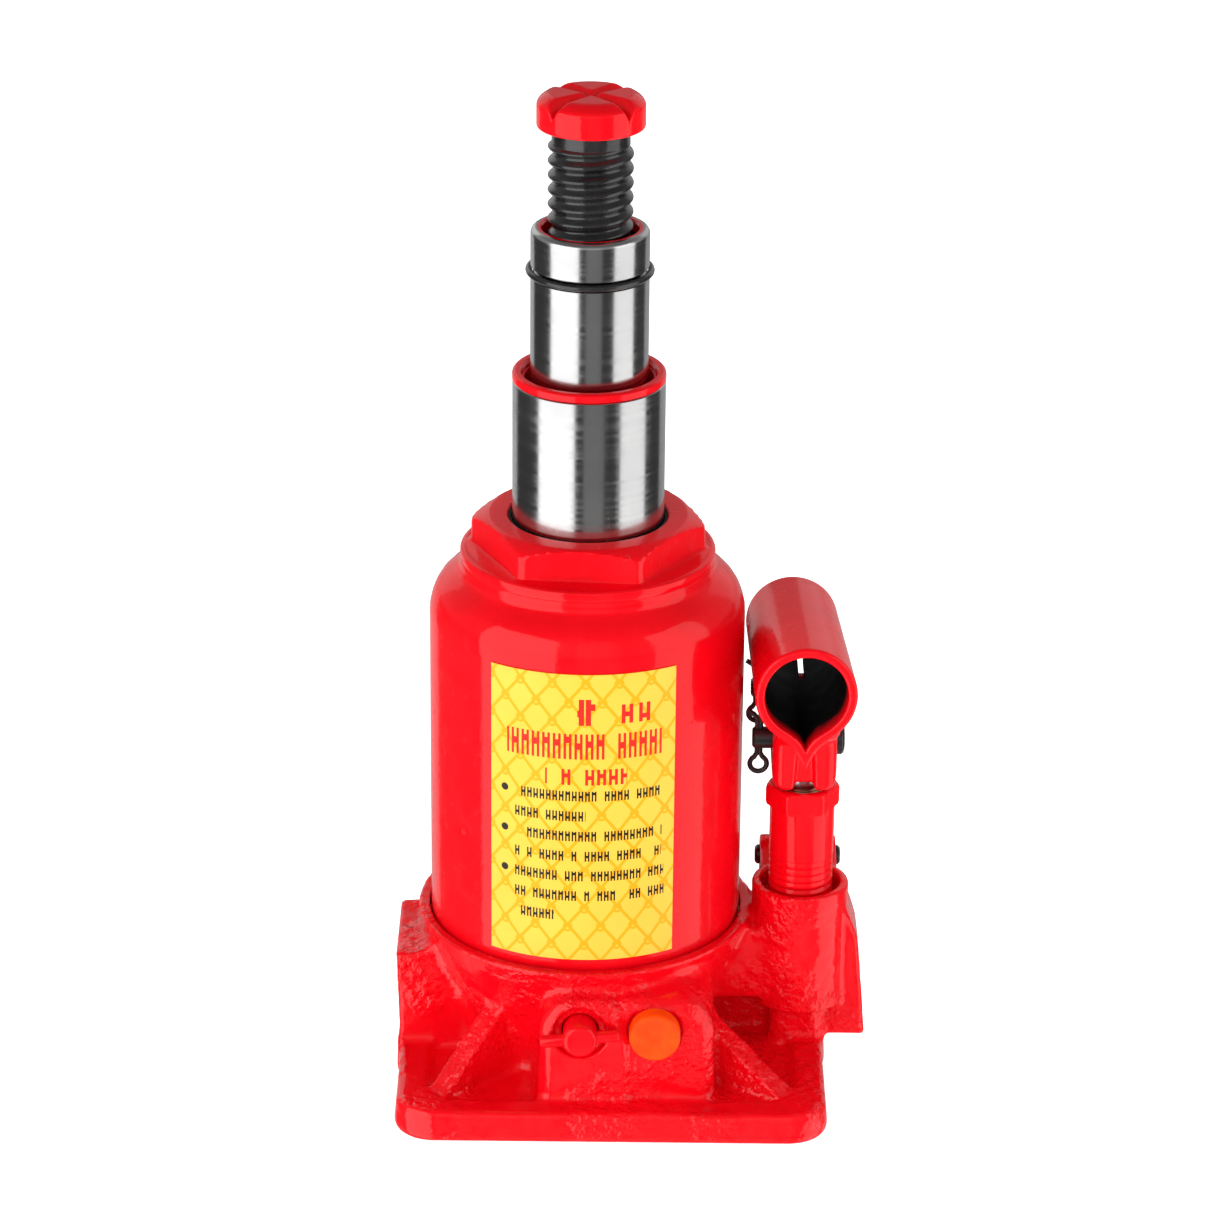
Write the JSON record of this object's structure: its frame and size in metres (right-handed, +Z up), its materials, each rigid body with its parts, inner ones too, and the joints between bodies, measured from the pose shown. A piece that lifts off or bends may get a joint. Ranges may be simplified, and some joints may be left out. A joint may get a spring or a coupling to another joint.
{
  "type": "bottle jack",
  "caption": "Two-stage hydraulic bottle jack: cast base, oil reservoir, telescoping rams, extension screw with grooved saddle, pump with tilting handle socket, release valve.",
  "frame": {"origin": "underside of the base plate, on the axis of the rams", "axes": "+Z up along the rams, +X towards the pump, -Y towards the front with the release valve and the handle socket's mouth"},
  "size_m": [0.1512, 0.136, 0.326],
  "materials": {
    "cast_red": "gloss paint over rough casting",
    "red_paint": "gloss",
    "polished_steel": "ground and polished",
    "plain_steel": "machined",
    "black_steel": "black oxide, oiled",
    "rubber": "matt",
    "orange_plastic": "moulded, semi-gloss",
    "label": "printed vinyl, satin",
    "copper": "plain copper washer"
  },
  "bodies": {
    "base": {"base_casting": "cast_red", "reservoir_tank": "red_paint", "info_label": "label", "main_cylinder": "plain_steel", "cylinder_gasket": "copper", "tank_gasket": "rubber", "nut_gasket": "rubber", "top_nut": "red_paint", "wiper_seal": "rubber", "oil_fill_plug": "rubber", "suction_strainer": "plain_steel", "passage_plug": "plain_steel", "delivery_ball": "polished_steel", "release_ball": "polished_steel", "safety_ball": "polished_steel", "safety_spring": "plain_steel", "safety_screw": "plain_steel", "safety_valve_cap": "orange_plastic", "pump_barrel": "red_paint", "barrel_washer": "copper", "pump_packing": "rubber", "packing_washer": "copper", "link_lower_pin": "black_steel"},
    "outer_stage": {"outer_ram": "polished_steel", "outer_ram_piston": "plain_steel", "outer_ram_cup_seal": "rubber", "outer_ram_snap_ring": "plain_steel", "outer_ram_guide_ring": "red_paint"},
    "inner_stage": {"inner_ram": "polished_steel", "inner_ram_piston": "plain_steel", "inner_ram_cup_seal": "rubber", "inner_ram_stop_ring": "black_steel"},
    "screw": {"extension_screw": "black_steel", "saddle": "red_paint"},
    "release_valve": {"release_stem": "red_paint", "release_cross_pin": "red_paint", "release_stem_seal": "rubber"},
    "plunger": {"pump_plunger": "polished_steel", "plunger_cup": "rubber", "plunger_pin": "black_steel", "plunger_split_pin": "black_steel"},
    "link": {"link": "red_paint", "link_upper_pin": "black_steel", "link_split_pin": "black_steel"},
    "socket": {"handle_socket": "red_paint"},
    "screw_stop": {"screw_stop_ring": "plain_steel"}
  },
  "joints": [
    {"name": "outer_ram_lift", "type": "slide", "parent": "base", "child": "outer_stage", "axis": [0, 0, 1], "range_m": [-0.0445, 0.07]},
    {"name": "inner_ram_lift", "type": "slide", "parent": "outer_stage", "child": "inner_stage", "axis": [0, 0, 1], "range_m": [-0.0305, 0.076]},
    {"name": "screw_travel", "type": "slide", "parent": "inner_stage", "child": "screw_stop", "axis": [0, 0, 1], "range_m": [-0.031, 0.036]},
    {"name": "screw_turn", "type": "hinge", "parent": "screw_stop", "child": "screw", "pos_m": [0, 0, 0.3], "axis": [0, 0, 1], "range_deg": [-2430, 2820]},
    {"name": "release_valve_turn", "type": "hinge", "parent": "base", "child": "release_valve", "pos_m": [-0.001, -0.057, 0.0345], "axis": [0, -1, 0], "range_deg": [0, 360]},
    {"name": "handle_pump", "type": "hinge", "parent": "link", "child": "socket", "pos_m": [0.0696, 0.019, 0.1205], "axis": [-1, 0, 0], "range_deg": [0, 50]},
    {"name": "link_swing", "type": "hinge", "parent": "base", "child": "link", "pos_m": [0.0696, 0.02, 0.06], "axis": [-1, 0, 0], "range_deg": [-3.2, 0]},
    {"name": "plunger_stroke", "type": "slide", "parent": "base", "child": "plunger", "axis": [0, 0, 1], "range_m": [0, 0.0205]}
  ],
  "couplings": [
    {"joint": "screw_turn", "follows": "screw_travel", "rad_per_m": 1365.9},
    {"joint": "link_swing", "follows": "handle_pump", "ratio": -0.06},
    {"joint": "plunger_stroke", "follows": "handle_pump", "m_per_rad": 0.0231}
  ]
}
